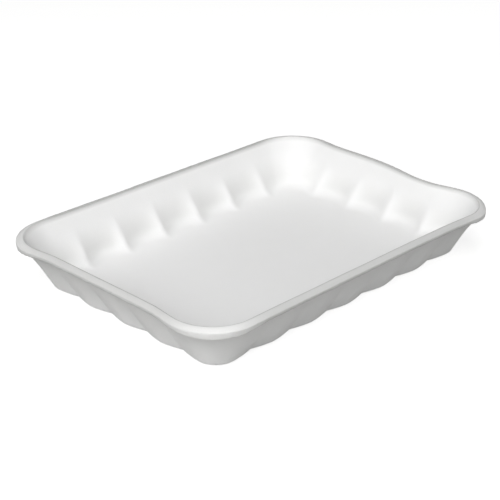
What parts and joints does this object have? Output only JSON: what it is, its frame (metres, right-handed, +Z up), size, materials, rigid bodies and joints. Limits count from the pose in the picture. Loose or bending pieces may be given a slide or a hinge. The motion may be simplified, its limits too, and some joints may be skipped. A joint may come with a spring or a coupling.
{
  "type": "foam meat tray",
  "caption": "Shallow rectangular foam tray with scalloped sloping walls, rounded corners and a turned-out lip, for raw meat and other fresh food.",
  "frame": {"origin": "on the table under the middle of the base, which is the middle of the bottom of the tray's box", "axes": "+X along the long sides towards the dented short side, +Y along the short sides, +Z up out of the tray"},
  "size_m": [0.2406, 0.1736, 0.0323],
  "materials": {
    "foam": "white expanded polystyrene sheet with a smooth, faintly glossy pressed skin and a rough trimmed edge"
  },
  "bodies": {
    "root": {"tray": "foam"}
  },
  "joints": []
}
